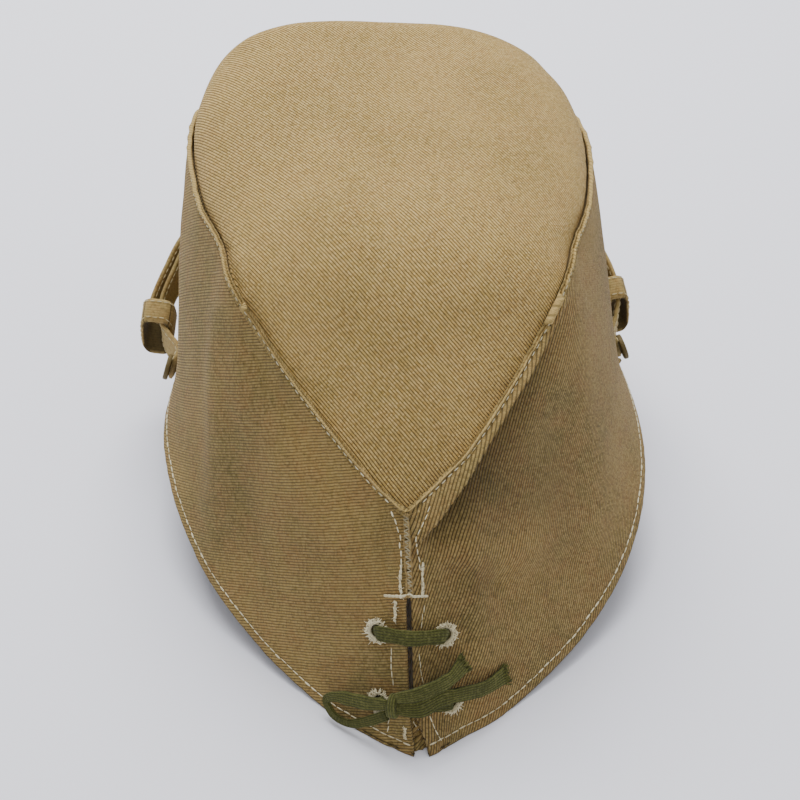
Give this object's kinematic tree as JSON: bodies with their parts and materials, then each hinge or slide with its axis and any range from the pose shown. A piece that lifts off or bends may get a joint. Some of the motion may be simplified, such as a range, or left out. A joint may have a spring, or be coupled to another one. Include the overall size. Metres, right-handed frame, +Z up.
{
  "type": "field cap",
  "caption": "Soft cotton drill cap with a peak, a cloth strap round the front and a laced slit at the rear of the hem.",
  "frame": {"origin": "centre of the bounding box, on the surface that the cap lies on", "axes": "+Z up from the surface, +Y to the peak, +X to the wearer's right"},
  "size_m": [0.1836, 0.2692, 0.1457],
  "materials": {
    "crown_drill": "tan cotton twill",
    "side_drill": "blotched khaki cotton twill",
    "peak_drill": "khaki cotton twill over a stiff core",
    "eyelet_thread": "whitish hand-sewn thread",
    "lace": "flat woven dull green",
    "strap_cloth": "stitched tan cloth"
  },
  "bodies": {
    "root": {"crown_panel": "crown_drill", "side_panel_left": "side_drill", "side_panel_right": "side_drill", "peak": "peak_drill", "eyelet_upper_left": "eyelet_thread", "eyelet_upper_right": "eyelet_thread", "eyelet_lower_left": "eyelet_thread", "eyelet_lower_right": "eyelet_thread", "lace_cord": "lace", "lace_knot": "lace", "lace_loop": "lace", "lace_tail_upper": "lace", "lace_tail_lower": "lace", "chin_strap_inner": "strap_cloth", "chin_strap_outer": "strap_cloth", "strap_keeper_left": "strap_cloth", "strap_keeper_right": "strap_cloth", "strap_button_left": "strap_cloth", "strap_button_right": "strap_cloth"}
  },
  "joints": []
}
